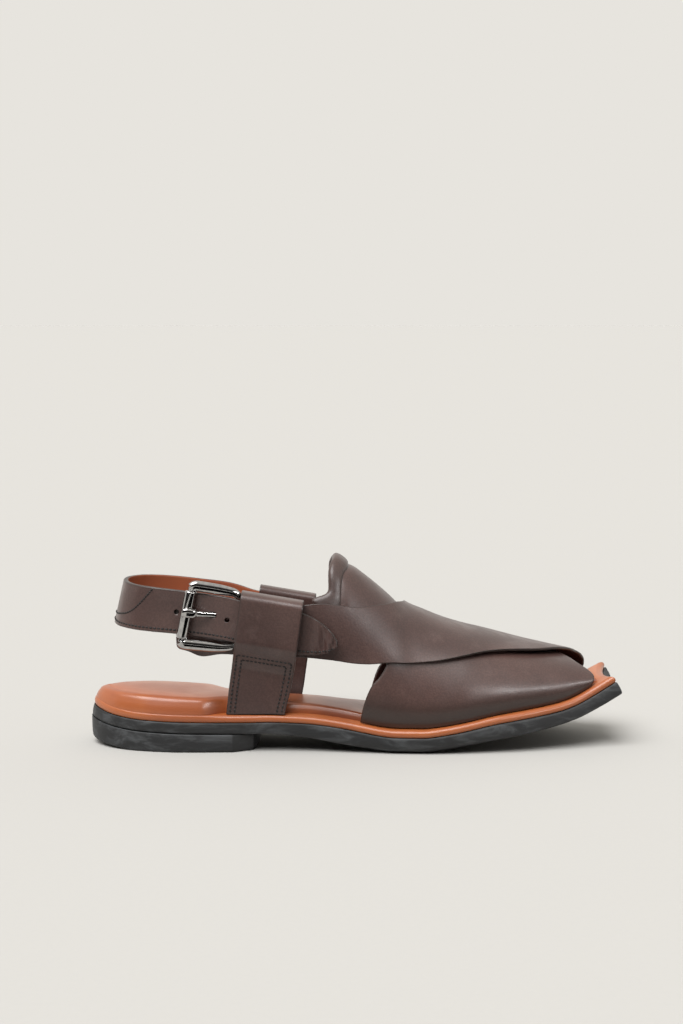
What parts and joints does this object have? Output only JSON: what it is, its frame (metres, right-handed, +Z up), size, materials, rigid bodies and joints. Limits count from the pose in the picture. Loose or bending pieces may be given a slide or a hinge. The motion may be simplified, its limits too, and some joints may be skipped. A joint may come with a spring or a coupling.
{
  "type": "peshawari chappal",
  "caption": "Open leather sandal of crossed bands with a tongue, a buckled heel strap held by side loops, a padded footbed and a low-heeled rubber sole with a notched toe.",
  "frame": {"origin": "middle of the bounding box, on the floor", "axes": "+X to the toe, +Y to the medial side, +Z up"},
  "size_m": [0.2988, 0.1006, 0.1067],
  "materials": {
    "brown_leather": "satin smooth leather with fine grain",
    "dark_leather": "satin smooth leather with fine grain",
    "tan_leather": "glossy smooth leather",
    "black_rubber": "matte",
    "gunmetal": "polished dark plating"
  },
  "bodies": {
    "root": {"outsole": "black_rubber", "heel_block": "black_rubber", "midsole": "tan_leather", "insole": "tan_leather", "upper": "brown_leather", "tongue": "brown_leather", "tongue_collar": "dark_leather", "side_strap_lateral": "brown_leather", "side_strap_medial": "brown_leather", "heel_strap": "brown_leather", "buckle_frame": "gunmetal", "buckle_roller": "gunmetal", "buckle_prong": "gunmetal"}
  },
  "joints": []
}
